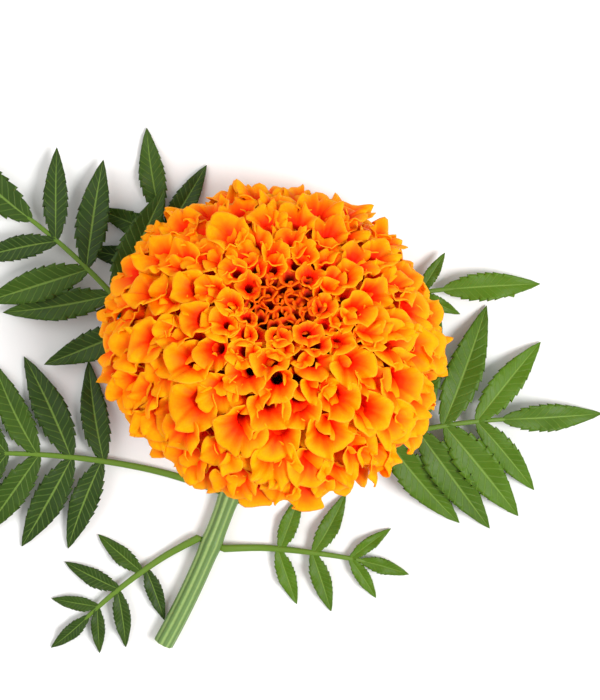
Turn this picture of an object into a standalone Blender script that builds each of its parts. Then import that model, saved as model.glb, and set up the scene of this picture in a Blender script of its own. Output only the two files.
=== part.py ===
"""A picked African marigold: a fully double flower head on a cut stem with feather-shaped leaves.

It lies on a surface at z = 0. The stem lies flat, bends up under the head, and the head faces up,
leaning away from the stem. Metres, +Z up.
"""

from collections import namedtuple
from math import cos, pi, radians, sin

import bmesh
import bpy
from mathutils import Matrix, Vector

MM = 0.001

# The head: its axis leans from the vertical towards +Y and a little towards +X.
HEAD_TILT = radians(33)
LEAN_SIDE = radians(15)
HEAD_HEIGHT = 25.6 * MM

# Heights along the head's axis, measured from the plane of its widest circle.
CUP_BASE = -19 * MM
CUP_RIM = -5.6 * MM
CUP_RADIUS = 11.4 * MM
CUP_WALL = 0.9 * MM
CUP_TEETH = 10
PAD_HEIGHT = -12.4 * MM
PAD_RADIUS = 8.3 * MM
PAD_HALF_DEPTH = 2.8 * MM
GAP = 0.3 * MM

# Petals: each whorl's blade rises from the pad, arches over and ends on the dome. A whorl is the number
# of its florets and the radius and height (mm) where their lips end. The outer whorls' florets are
# separate solids, and those of each inner whorl are joined into one.
WHORLS = [
    (21, 40.0, -4.0),
    (21, 39.2, 3.2),
    (21, 36.2, 9.4),
    (20, 31.6, 14.2),
    (19, 26.0, 17.4),
    (17, 20.2, 19.2),
    (15, 14.8, 19.8),
    (13, 10.0, 19.0),
]
SEPARATE_WHORLS = 2
PETAL_THICKNESS = 0.5 * MM
PETAL_SHARE = 0.9
RUFFLE = 0.9 * MM
PETAL_FOOT = -8.4 * MM
FOOT_RADIUS_OUTER = 8.9 * MM
FOOT_RADIUS_INNER = 2.8 * MM
CENTRE_RADIUS = 5.0 * MM
CENTRE_TOP = 16.5 * MM

# The stem: a bend under the cup, then a lying part that turns slowly to the left.
STEM_RADIUS = 2.5 * MM
NECK_RADIUS = 3.4 * MM
STEM_LENGTH = 74 * MM
STEM_SIDES = 12
STEM_STEP = 3.0 * MM
STEM_TURN = radians(14)

# Leaves: a stalk with leaflets in pairs and one at the end.
LEAF_THICKNESS = 0.7 * MM
STALK_HALF_WIDTH = 0.75 * MM
LEAFLET_WIDTH_SHARE = 0.16
LAST_PAIR = 0.66
LAST_LEAFLET = 0.73
LEAFLET_SHAPE = [(0.06, 0.16), (0.22, 0.72), (0.45, 1.0), (0.72, 0.74), (0.9, 0.34)]

# Angles are in degrees from +X, sizes in millimetres. bare is the share of the stalk before its first
# leaflets. A leaf rests on the surface, or on a leaf below it.
Leaf = namedtuple("Leaf", "name side station heading turn length rise rest pairs bare longest")
LEAVES = [
    Leaf("leaf_right", 1, 34, 35, -46, 92, 7.0, 0.5, 4, 0.42, 31),
    Leaf("leaf_upper_right", 1, 21, 78, -100, 87, 1.4, 2.6, 2, 0.55, 15),
    Leaf("leaf_upper_left", -1, 20, 112, -12, 78, 1.0, 0.5, 3, 0.44, 24),
    Leaf("leaf_left", -1, 27, 112, 42, 104, 3.6, 2.8, 4, 0.38, 28),
    Leaf("leaf_lower_left", -1, 33, 160, 30, 78, 3.4, 0.5, 4, 0.36, 26),
    Leaf("leaf_bottom_left", -1, 46, 207, 24, 46, 2.0, 0.5, 3, 0.34, 15),
    Leaf("leaf_bottom_right", 1, 46, 2, -20, 46, 2.0, 0.5, 3, 0.3, 16),
]


def make_material(name, colour, roughness):
    material = bpy.data.materials.new(name)
    material.use_nodes = True
    shader = material.node_tree.nodes["Principled BSDF"]
    shader.inputs["Base Color"].default_value = (*colour, 1.0)
    shader.inputs["Roughness"].default_value = roughness
    shader.inputs["Metallic"].default_value = 0.0
    return material


def add_solid(name, points, faces, material, parent, thickness=None):
    """Adds a named object. A thickness turns an open sheet into a closed solid around it."""
    mesh = bpy.data.meshes.new(name)
    mesh.from_pydata(points, [], faces)
    shape = bmesh.new()
    shape.from_mesh(mesh)
    bmesh.ops.recalc_face_normals(shape, faces=shape.faces)
    shape.to_mesh(mesh)
    shape.free()
    mesh.shade_smooth()
    mesh.materials.append(material)
    solid = bpy.data.objects.new(name, mesh)
    bpy.context.scene.collection.objects.link(solid)
    solid.parent = parent
    if thickness:
        wall = solid.modifiers.new("thickness", "SOLIDIFY")
        wall.thickness = thickness
        wall.offset = 0.0
    return solid


def grid_faces(rows, columns, ring=False):
    """The quads of a grid of points stored row by row. A ring joins its last column to the first."""
    spans = columns if ring else columns - 1
    faces = []
    for row in range(rows - 1):
        for column in range(spans):
            here = row * columns + column
            beside = row * columns + (column + 1) % columns
            faces.append((here, beside, beside + columns, here + columns))
    return faces


def turned_solid(name, outline, sides, material, parent, shape_ring=None):
    """Turns an outline of (radius, height), whose two ends are on the axis, into a closed solid."""
    inner = outline[1:-1]
    points = []
    for index, (radius, height) in enumerate(inner):
        for side in range(sides):
            angle = 2 * pi * side / sides
            r, h = shape_ring(index, angle, radius, height) if shape_ring else (radius, height)
            points.append((r * cos(angle), r * sin(angle), h))
    faces = grid_faces(len(inner), sides, ring=True)
    first, last = len(points), len(points) + 1
    points += [(0, 0, outline[0][1]), (0, 0, outline[-1][1])]
    top = (len(inner) - 1) * sides
    for side in range(sides):
        beside = (side + 1) % sides
        faces.append((first, beside, side))
        faces.append((last, top + side, top + beside))
    return add_solid(name, points, faces, material, parent)


def bezier(points, t):
    """A point on a cubic curve."""
    a, b, c, d = (Vector(p) for p in points)
    s = 1 - t
    return a * s**3 + b * (3 * s * s * t) + c * (3 * s * t * t) + d * t**3


def petal_profile(whorl):
    """The cubic curve (radius, height) that a whorl's blades follow, from the pad to the dome."""
    inwards = whorl / (len(WHORLS) - 1)
    foot = FOOT_RADIUS_OUTER + (FOOT_RADIUS_INNER - FOOT_RADIUS_OUTER) * inwards
    tip = Vector(WHORLS[whorl][1:]) * MM
    above_cup = (foot * 1.08, PETAL_FOOT + (7 + 9 * inwards) * MM)
    reach = 0.24 + 0.38 * inwards
    shoulder = (foot + (tip.x - foot) * reach, tip.y + (8.5 - 7 * inwards) * MM)
    return [(foot, PETAL_FOOT), above_cup, shoulder, tuple(tip)]


def petal_width(t):
    """The share of its sector that a blade fills, narrow at the foot and round at the tip."""
    if t < 0.6:
        return 0.5 + 0.5 * (t / 0.6) ** 1.5
    return 1 - ((t - 0.6) / 0.4) ** 3 * 0.6


def add_petal(whorl, number, material, parent):
    """One ray floret as a curved, ruffled blade."""
    steps = [0, 0.15, 0.45, 0.7, 0.87, 1.0]
    across = [-1, 0, 1]
    sector = 2 * pi / WHORLS[whorl][0]
    middle = sector * (number + 0.5 * (whorl % 2))
    profile = petal_profile(whorl)
    points = []
    for t in steps:
        radius, height = bezier(profile, t)
        for side in across:
            angle = middle + side * sector / 2 * PETAL_SHARE * petal_width(t)
            lift = RUFFLE * t * t * (0.5 - abs(side))
            points.append((radius * cos(angle), radius * sin(angle), height + lift))
    faces = grid_faces(len(steps), len(across))
    name = f"petal_{whorl + 1}_{number + 1:02d}"
    add_solid(name, points, faces, material, parent, PETAL_THICKNESS)


def add_petal_whorl(whorl, material, parent):
    """An inner whorl, whose florets are joined into one scalloped crown."""
    steps = [0, 0.3, 0.6, 0.82, 1.0]
    count = WHORLS[whorl][0]
    sides = 4 * count if whorl > 5 else 3 * count
    profile = petal_profile(whorl)
    points = []
    for t in steps:
        for side in range(sides):
            angle = 2 * pi * side / sides
            wave = cos(count * angle)
            radius, height = bezier(profile, t * (1 - 0.07 * t * (1 - wave)))
            lift = 0.5 * RUFFLE * t * t * wave
            points.append((radius * cos(angle), radius * sin(angle), height + lift))
    faces = grid_faces(len(steps), sides, ring=True)
    add_solid(f"petal_whorl_{whorl + 1}", points, faces, material, parent, PETAL_THICKNESS)


def add_disc_florets(material, parent):
    """The bundle of small tubular florets in the centre, joined into one piece."""
    foot = PETAL_FOOT + 0.2 * MM
    radius = CENTRE_RADIUS
    outline = [
        (0, foot),
        (0.36 * radius, foot),
        (0.40 * radius, foot + 6 * MM),
        (0.60 * radius, CENTRE_TOP - 6 * MM),
        (1.00 * radius, CENTRE_TOP),
        (0.70 * radius, CENTRE_TOP + 0.8 * MM),
        (0.35 * radius, CENTRE_TOP - 0.4 * MM),
        (0, CENTRE_TOP - 1.2 * MM),
    ]

    def lobed(index, angle, r, h):
        return (r * (1 + 0.05 * cos(8 * angle)), h) if index in (3, 4) else (r, h)

    turned_solid("disc_florets", outline, 32, material, parent, lobed)


def add_involucre(material, parent):
    """The green cup under the head, open at the top, with a toothed rim."""
    depth = CUP_RIM - CUP_BASE
    outer = [(0.28, 0), (0.5, 0.06), (0.72, 0.25), (0.86, 0.5), (0.95, 0.75), (1.0, 1.0)]
    outline = [(0, CUP_BASE)]
    outline += [(CUP_RADIUS * r, CUP_BASE + depth * h) for r, h in outer]
    outline += [(r - CUP_WALL, h) for r, h in reversed(outline[3:])]
    outline.append((0, outline[-1][1] - 0.4 * MM))
    rim_rows = (len(outer) - 1, len(outer))

    def toothed(index, angle, r, h):
        return (r, h + 0.5 * MM * cos(CUP_TEETH * angle)) if index in rim_rows else (r, h)

    turned_solid("involucre", outline, 4 * CUP_TEETH, material, parent, toothed)


def add_receptacle(material, parent):
    """The pad inside the cup that the florets grow from."""
    mesh = bpy.data.meshes.new("receptacle")
    shape = bmesh.new()
    bmesh.ops.create_uvsphere(shape, u_segments=24, v_segments=12, radius=1.0)
    size = (PAD_RADIUS, PAD_RADIUS, PAD_HALF_DEPTH)
    bmesh.ops.scale(shape, vec=size, verts=shape.verts)
    bmesh.ops.translate(shape, vec=(0, 0, PAD_HEIGHT), verts=shape.verts)
    shape.to_mesh(mesh)
    shape.free()
    mesh.shade_smooth()
    mesh.materials.append(material)
    pad = bpy.data.objects.new("receptacle", mesh)
    bpy.context.scene.collection.objects.link(pad)
    pad.parent = parent


def stem_route():
    """Points and directions along the stem, from under the cup to the cut end."""
    lean = Vector((sin(LEAN_SIDE), cos(LEAN_SIDE), 0))
    axis = lean * sin(HEAD_TILT) + Vector((0, 0, cos(HEAD_TILT)))
    start = Vector((0, 0, HEAD_HEIGHT)) + axis * (CUP_BASE - GAP)
    slope = pi / 2 - HEAD_TILT
    bend_radius = (start.z - STEM_RADIUS) / (1 - cos(slope))
    bend_length = bend_radius * slope
    fine = 0.25 * MM
    place, travelled = start, 0.0
    route = []
    heading = -pi / 2 - LEAN_SIDE
    while travelled < STEM_LENGTH + fine / 2:
        left = max(0.0, 1 - travelled / bend_length) * slope
        turned = STEM_TURN * max(0.0, travelled - bend_length) / (STEM_LENGTH - bend_length)
        plan = heading - turned
        direction = Vector((cos(plan) * cos(left), sin(plan) * cos(left), -sin(left)))
        route.append((travelled, place.copy(), direction))
        place += direction * fine
        travelled += fine
    return route


def stem_radius(travelled):
    """Thick under the cup, then even."""
    return STEM_RADIUS + (NECK_RADIUS - STEM_RADIUS) * max(0.0, 1 - travelled / (9 * MM)) ** 2


def add_stem(material, parent):
    route = stem_route()
    stride = round(STEM_STEP / (route[1][0] - route[0][0]))
    stations = route[::stride]
    points = []
    for travelled, place, direction in stations:
        across = direction.cross(Vector((0, 0, 1))).normalized()
        up = across.cross(direction)
        radius = stem_radius(travelled)
        for side in range(STEM_SIDES):
            angle = 2 * pi * side / STEM_SIDES
            points.append(place + across * (radius * cos(angle)) + up * (radius * sin(angle)))
    faces = grid_faces(len(stations), STEM_SIDES, ring=True)
    faces.append(tuple(range(STEM_SIDES)))
    faces.append(tuple(range(len(points) - STEM_SIDES, len(points))))
    add_solid("stem", points, faces, material, parent)


def smooth_step(t):
    t = min(1.0, max(0.0, t))
    return t * t * (3 - 2 * t)


class LeafStalk:
    """The middle line of a leaf: a curve in plan that arches up and comes down to where it rests."""

    def __init__(self, leaf, route):
        place = min(route, key=lambda point: abs(point[0] - leaf.station * MM))
        outwards = place[2].cross(Vector((0, 0, 1))).normalized()
        if outwards.x * leaf.side < 0:
            outwards = -outwards
        self.base = place[1] + outwards * (STEM_RADIUS + 3 * GAP)
        self.heading, self.turn = radians(leaf.heading), radians(leaf.turn)
        self.length, self.rise, self.rest = leaf.length * MM, leaf.rise * MM, leaf.rest * MM

    def direction(self, s):
        angle = self.heading + self.turn * s / self.length
        return Vector((cos(angle), sin(angle), 0))

    def height(self, s):
        t = s / self.length
        down = (self.base.z - self.rest) * (1 - smooth_step(t / 0.25))
        return self.rest + down + self.rise * max(0.0, sin(pi * t)) ** 1.5

    def point(self, s):
        steps = 40
        place = Vector((self.base.x, self.base.y, 0))
        for step in range(steps):
            place += self.direction((step + 0.5) * s / steps) * (s / steps)
        place.z = self.height(s)
        return place


def leaflet_sizes(leaf):
    """Place along the stalk (share), length and angle of each pair, from the stem outwards."""
    sizes = []
    for pair in range(leaf.pairs):
        t = pair / (leaf.pairs - 1)
        place = leaf.bare + (LAST_PAIR - leaf.bare) * t
        length = leaf.longest * MM * (0.86 + 0.14 * sin(pi * t) - 0.12 * t)
        sizes.append((place, length, radians(74 - 26 * t)))
    return sizes


def leaf_sheet(leaf, stalk):
    """Points and faces of a leaf: the stalk is three points wide, and leaflets grow from its edges."""
    foot = STALK_HALF_WIDTH
    stations = [0.0, 0.09 * stalk.length, 0.18 * stalk.length]
    leaflets = {}
    for place, length, angle in leaflet_sizes(leaf):
        middle = place * stalk.length
        leaflets[len(stations) + 1] = (length, angle)
        stations += [middle - foot, middle, middle + foot]
    stations.append(LAST_LEAFLET * stalk.length)
    points = []
    for s in stations:
        centre, ahead = stalk.point(s), stalk.direction(s)
        left = Vector((-ahead.y, ahead.x, 0))
        points += [centre + left * foot, centre.copy(), centre - left * foot]
    faces = grid_faces(len(stations), 3)
    for station, (length, angle) in leaflets.items():
        ahead = stalk.direction(stations[station])
        for side, column in ((1, 0), (-1, 2)):
            root = [3 * (station + step) + column for step in (-1, 0, 1)]
            add_leaflet(points, faces, root, turned(ahead, side * angle), length, stalk.rest)
    root = [3 * (len(stations) - 1) + column for column in (0, 1, 2)]
    length = (1 - LAST_LEAFLET) * stalk.length
    add_leaflet(points, faces, root, stalk.direction(stations[-1]), length, stalk.rest)
    return points, faces


def turned(direction, angle):
    return Matrix.Rotation(angle, 3, "Z") @ direction


def add_leaflet(points, faces, root, direction, length, rest):
    """Grows one leaflet from three root points. It droops to where the leaf rests."""
    start = points[root[1]].copy()
    first, last = points[root[0]], points[root[2]]
    half_width = LEAFLET_WIDTH_SHARE * length
    across = (last - first)
    across -= direction * across.dot(direction)
    across = Vector((across.x, across.y, 0)).normalized()
    row = root
    for t, width in LEAFLET_SHAPE:
        centre = start + direction * (t * length)
        centre.z = rest + (start.z - rest) * (1 - t**1.6)
        new = len(points)
        for side in (-1, 0, 1):
            points.append(centre + across * (side * half_width * width))
        new_row = [new, new + 1, new + 2]
        for a, b in ((0, 1), (1, 2)):
            faces.append((row[a], row[b], new_row[b], new_row[a]))
        row = new_row
    tip = start + direction * length
    tip.z = rest
    points.append(tip)
    for a, b in ((0, 1), (1, 2)):
        faces.append((row[a], row[b], len(points) - 1))


def add_leaves(material, parent):
    route = stem_route()
    for leaf in LEAVES:
        points, faces = leaf_sheet(leaf, LeafStalk(leaf, route))
        add_solid(leaf.name, points, faces, material, parent, LEAF_THICKNESS)


def stand_on_origin(holder):
    """Moves the whole flower so that the origin is at the middle of its base."""
    bpy.context.view_layer.update()
    graph = bpy.context.evaluated_depsgraph_get()
    corners = []
    for thing in bpy.data.objects:
        if thing.type == "MESH":
            shape = thing.evaluated_get(graph).to_mesh()
            corners += [thing.matrix_world @ v.co for v in shape.vertices]
            thing.evaluated_get(graph).to_mesh_clear()
    low = [min(c[axis] for c in corners) for axis in range(3)]
    high = [max(c[axis] for c in corners) for axis in range(3)]
    holder.location = (-(low[0] + high[0]) / 2, -(low[1] + high[1]) / 2, -low[2])


def add_empty(name, parent=None):
    empty = bpy.data.objects.new(name, None)
    bpy.context.scene.collection.objects.link(empty)
    empty.parent = parent
    return empty


def main():
    for thing in list(bpy.data.objects):
        bpy.data.objects.remove(thing, do_unlink=True)
    orange = make_material("petal_orange", (1.0, 0.28, 0.0), 0.6)
    deep_orange = make_material("centre_orange", (0.55, 0.10, 0.01), 0.6)
    green = make_material("stem_green", (0.18, 0.30, 0.07), 0.5)
    leaf_green = make_material("leaf_green", (0.08, 0.20, 0.03), 0.5)
    pale = make_material("pad_pale_green", (0.45, 0.52, 0.25), 0.7)
    flower = add_empty("flower")
    head = add_empty("head", flower)
    head.location = (0, 0, HEAD_HEIGHT)
    head.rotation_euler = (-HEAD_TILT, 0, -LEAN_SIDE)
    for whorl, (count, _, _) in enumerate(WHORLS):
        if whorl < SEPARATE_WHORLS:
            for number in range(count):
                add_petal(whorl, number, orange, head)
        else:
            add_petal_whorl(whorl, orange, head)
    add_disc_florets(deep_orange, head)
    add_involucre(green, head)
    add_receptacle(pale, head)
    add_stem(green, flower)
    add_leaves(leaf_green, flower)
    stand_on_origin(flower)


if __name__ == "__main__":
    main()
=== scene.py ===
"""The looks of a picked African marigold: ruffled florets, green cup, ribbed stem and toothed leaves.

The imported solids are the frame. Every visible piece is made here around them, in metres.
"""

import math
from collections import namedtuple

import bpy
import numpy as np
from mathutils import Euler, Matrix, Vector


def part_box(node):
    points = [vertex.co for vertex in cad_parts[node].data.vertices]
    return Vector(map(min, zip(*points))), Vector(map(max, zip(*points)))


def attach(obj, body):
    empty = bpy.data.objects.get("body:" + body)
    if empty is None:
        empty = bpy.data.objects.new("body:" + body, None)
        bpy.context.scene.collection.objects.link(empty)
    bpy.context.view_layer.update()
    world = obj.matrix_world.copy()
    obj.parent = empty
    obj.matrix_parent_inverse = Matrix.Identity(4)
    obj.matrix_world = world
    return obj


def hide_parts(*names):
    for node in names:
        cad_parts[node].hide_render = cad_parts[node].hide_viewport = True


bl_info = {
    "name": "Picked marigold",
    "version": (1, 0, 0),
    "blender": (4, 5, 0),
    "location": "View3D > Sidebar > Marigold",
    "description": "Builds the petals, leaves, stem and studio of a picked marigold",
    "category": "Add Mesh",
}

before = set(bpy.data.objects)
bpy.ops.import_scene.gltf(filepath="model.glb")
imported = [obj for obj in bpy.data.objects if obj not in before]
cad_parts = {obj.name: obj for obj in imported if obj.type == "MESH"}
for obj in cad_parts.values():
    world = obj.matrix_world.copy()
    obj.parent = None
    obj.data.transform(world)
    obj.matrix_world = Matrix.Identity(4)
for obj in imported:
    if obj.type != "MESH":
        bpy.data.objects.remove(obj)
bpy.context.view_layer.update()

MM = 0.001
TAU = 2 * math.pi

# The head leans from the vertical towards +Y and a little towards +X, as its solids do.
HEAD_TILT = math.radians(33)
LEAN_SIDE = math.radians(15)
PAD_HEIGHT = -12.4 * MM
PAD_RADIUS = 8.3 * MM
PAD_HALF_DEPTH = 2.8 * MM
CUP_BASE = -19 * MM
CUP_RIM = -5.6 * MM
CUP_RADIUS = 11.4 * MM
CUP_TEETH = 10
CUP_WALL = 0.6 * MM
TOOTH_HEIGHT = 2.6 * MM

# Petals in each whorl, and the radius and height (mm) where their lips end, from the rim to the centre.
WHORLS = [
    (21, 40.0, -4.0),
    (21, 39.2, 3.2),
    (38, 36.2, 9.4),
    (35, 31.6, 14.2),
    (31, 26.0, 17.4),
    (24, 20.2, 19.2),
    (18, 14.8, 19.8),
    (14, 10.0, 19.0),
]
DOME_CENTRE = [(5.6, 17.4), (0.0, 15.4)]
CENTRE_HEIGHT = 17.2 * MM
CENTRE_SPREAD = 7.6 * MM
# For each whorl: how far its mouths lie towards the next one, how far every other floret is set in or
# out, the length (mm) of its lips, the share of it on their inner side, their breadth, the radius and the
# depth (mm) of its mouths, how far (degrees) they lean down the dome, and how yellow they are.
MOUTH_PLACE = [1.1, 1.1, 1.08, 1.05, 0.98, 0.82, 0.58, 0.32]
STAGGER = [0.2, 0.26, 0.36, 0.3, 0.28, 0.24, 0.16, 0.1]
LIP_LENGTH = [6.6, 6.6, 6.6, 6.2, 5.7, 5.0, 4.3, 3.6]
INNER_SHARE = [0.12, 0.12, 0.12, 0.14, 0.2, 0.32, 0.42, 0.5]
BREADTH = [1.1, 1.1, 1.1, 1.05, 1.0, 1.0, 0.95, 1.0]
MOUTH_RADIUS = [1.8, 1.8, 1.9, 1.8, 1.5, 1.3, 1.1, 1.0]
MOUTH_SINK = [4.5, 4.1, 3.6, 3.3, 3.1, 2.9, 2.2, 2.2]
LIP_LEAN = [5, 10, 13, 11, 9, 7, 5, 3]
RIPENESS = [1.0, 0.95, 0.85, 0.7, 0.55, 0.4, 0.2, 0.0]
# The solids of the first whorls are separate petals, each of which stands for several florets. The last
# whorls are less ruffled.
SEPARATE_WHORLS = 2
FLORETS_PER_PETAL = 2
SMOOTH_WHORLS = 2
# The radius of a tube at its foot, the height of the mouth under which a floret's lip is shorter, and the
# clearance from the ground and the depth over which petals are pressed flat above it.
FOOT_RADIUS = 0.45 * MM
LOW_MOUTH = 11 * MM
GROUND_CLEARANCE = 0.2 * MM
GROUND_PRESS = 1.0 * MM

STEM_RADIUS = 2.5 * MM
NECK_RADIUS = 3.4 * MM
STEM_LENGTH = 74 * MM
STEM_TURN = math.radians(14)
STEM_RIBS = 9
GAP = 0.3 * MM

LAST_PAIR = 0.66
LAST_LEAFLET = 0.73
LEAFLET_TEETH = 11
LEAFLET_HALF_WIDTH = 0.145
# Leaflet tones of the leaves on the right of the stem and on the left: the right-hand leaves are painted
# lighter as painted light, the left-hand ones darker as painted shade.
PAINTED_LIGHT_TONE, PAINTED_SHADE_TONE = 0.8, 0.12
# Angles in degrees from +X, sizes in millimetres, as for the leaf solids.
Leaf = namedtuple("Leaf", "name side station heading turn length rise rest pairs bare longest")
LEAVES = [
    Leaf("leaf_right", 1, 34, 35, -46, 92, 7.0, 0.5, 4, 0.42, 31),
    Leaf("leaf_upper_right", 1, 21, 78, -100, 87, 1.4, 2.6, 2, 0.55, 15),
    Leaf("leaf_upper_left", -1, 20, 112, -12, 78, 1.0, 0.5, 3, 0.44, 24),
    Leaf("leaf_left", -1, 27, 112, 42, 104, 3.6, 2.8, 4, 0.38, 28),
    Leaf("leaf_lower_left", -1, 33, 160, 30, 78, 3.4, 0.5, 4, 0.36, 26),
    Leaf("leaf_bottom_left", -1, 46, 207, 24, 46, 2.0, 0.5, 3, 0.34, 15),
    Leaf("leaf_bottom_right", 1, 46, 2, -20, 46, 2.0, 0.5, 3, 0.3, 16),
]


def head_centre():
    """The middle of the head's widest circle, worked out from the pad inside the cup."""
    low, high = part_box("receptacle")
    return (low + high) / 2 - head_axis() * PAD_HEIGHT


def head_turn():
    return Euler((-HEAD_TILT, 0, -LEAN_SIDE)).to_matrix()


def head_axis():
    return head_turn() @ Vector((0, 0, 1))


# ---- meshes ----


class Shape:
    """Collects grids of points, with named values at each point, and makes them one mesh."""

    def __init__(self):
        self.points, self.quads, self.triangles, self.values, self.count = [], [], [], {}, 0

    def add_grid(self, grid, ring=False, close_start=False, close_end=False, flip=False, **values):
        """Adds a grid of points (rows, columns, 3). A ring joins its columns, and an end can be closed."""
        rows, columns = grid.shape[:2]
        start = self.count
        index = start + np.arange(rows * columns).reshape(rows, columns)
        beside = np.roll(index, -1, axis=1)
        if not ring:
            index_a, index_b = index[:, :-1], index[:, 1:]
        else:
            index_a, index_b = index, beside
        quads = np.stack([index_a[:-1], index_b[:-1], index_b[1:], index_a[1:]], axis=-1).reshape(-1, 4)
        self.quads.append(quads[:, ::-1] if flip else quads)
        points = [grid.reshape(-1, 3)]
        extra = []
        for closed, row, turn in ((close_start, 0, True), (close_end, -1, False)):
            if closed:
                middle = start + rows * columns + len(extra)
                fan = np.stack([index[row], beside[row], np.full(columns, middle)], axis=-1)
                self.triangles.append(fan[:, ::-1] if turn != flip else fan)
                points.append(grid[row].mean(axis=0)[None])
                extra.append(row)
        for name, value in values.items():
            value = np.broadcast_to(value, (rows, columns))
            ends = [value[row].mean() for row in extra]
            self.values.setdefault(name, []).append(np.concatenate([value.reshape(-1), ends]))
        self.points += points
        self.count += rows * columns + len(extra)

    def make(self, name, material, thickness=0.0):
        """Makes the mesh an object. A thickness turns its sheets into closed walls."""
        mesh = bpy.data.meshes.new(name)
        points = np.concatenate(self.points)
        quads = np.concatenate(self.quads) if self.quads else np.zeros((0, 4), int)
        triangles = np.concatenate(self.triangles) if self.triangles else np.zeros((0, 3), int)
        mesh.vertices.add(len(points))
        mesh.vertices.foreach_set("co", points.astype(np.float32).ravel())
        loops = np.concatenate([quads.ravel(), triangles.ravel()])
        sizes = np.concatenate([np.full(len(quads), 4), np.full(len(triangles), 3)])
        mesh.loops.add(len(loops))
        mesh.loops.foreach_set("vertex_index", loops.astype(np.int32))
        mesh.polygons.add(len(sizes))
        starts = np.concatenate([[0], np.cumsum(sizes)[:-1]])
        mesh.polygons.foreach_set("loop_start", starts.astype(np.int32))
        mesh.polygons.foreach_set("use_smooth", np.full(len(sizes), True))
        mesh.update(calc_edges=True)
        for key, value in self.values.items():
            layer = mesh.attributes.new(key, "FLOAT", "POINT")
            layer.data.foreach_set("value", np.concatenate(value).astype(np.float32))
        mesh.materials.append(material)
        piece = bpy.data.objects.new(name, mesh)
        bpy.context.scene.collection.objects.link(piece)
        if thickness:
            wall = piece.modifiers.new("wall", "SOLIDIFY")
            wall.thickness, wall.offset = thickness, 0.0
            settle(piece)
        return piece


def settle(piece):
    """Turns what a piece's modifiers make into its plain mesh."""
    graph = bpy.context.evaluated_depsgraph_get()
    made = bpy.data.meshes.new_from_object(piece.evaluated_get(graph), depsgraph=graph)
    piece.modifiers.clear()
    old, piece.data = piece.data, made
    made.name = piece.name
    bpy.data.meshes.remove(old)


def claim(piece, slot, *nodes):
    """Ties a piece to the body and hides the solids that it stands for. The slot is not used."""
    if not piece.data.polygons:
        raise RuntimeError(f"{piece.name} came out with no faces")
    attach(piece, "root")
    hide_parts(*nodes)


def full_turn(sides):
    """Angles of evenly spaced points around a ring."""
    return np.arange(sides) / sides * TAU


def ring_points(radius, around, height):
    """Points on rings around +Z."""
    return np.stack([radius * np.cos(around), radius * np.sin(around), height], axis=-1)


def ease(t):
    """Goes from 0 to 1 with a soft start and end."""
    t = np.clip(t, 0.0, 1.0)
    return t * t * (3 - 2 * t)


# ---- florets ----


def dome_point(whorl):
    """Radius and height (m) of the dome at a whorl's number, and at the places between whorls."""
    radii = [w[1] for w in WHORLS] + [c[0] for c in DOME_CENTRE]
    heights = [w[2] for w in WHORLS] + [c[1] for c in DOME_CENTRE]
    places = np.arange(len(radii))
    return np.array([np.interp(whorl, places, radii), np.interp(whorl, places, heights)]) * MM


def dome_slope(whorl):
    """The direction (radial, up) that runs down the dome at a whorl, and the one that points out of it."""
    down = dome_point(max(whorl - 0.6, 0.0)) - dome_point(whorl + 0.6)
    down = down / np.hypot(*down)
    return down, np.array([-down[1], down[0]])


def sharp_wave(angle):
    """A wave whose crests and troughs are creased, as crumpled petals are."""
    return 0.75 * (2 / math.pi) * np.arcsin(np.sin(angle)) + 0.35 * np.sin(angle)


def thicken(grid, thickness):
    """The inner side of a ring-shaped sheet from foot to edge, and then its outer side back to the foot."""
    up = np.gradient(grid, axis=0)
    around = np.roll(grid, -1, axis=1) - np.roll(grid, 1, axis=1)
    normal = np.cross(around, up)
    normal /= np.maximum(np.linalg.norm(normal, axis=-1, keepdims=True), 1e-12)
    shift = normal * thickness / 2
    return np.concatenate([grid - shift, (grid + shift)[::-1]])


def unit(vector):
    return vector / np.linalg.norm(vector)


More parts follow.
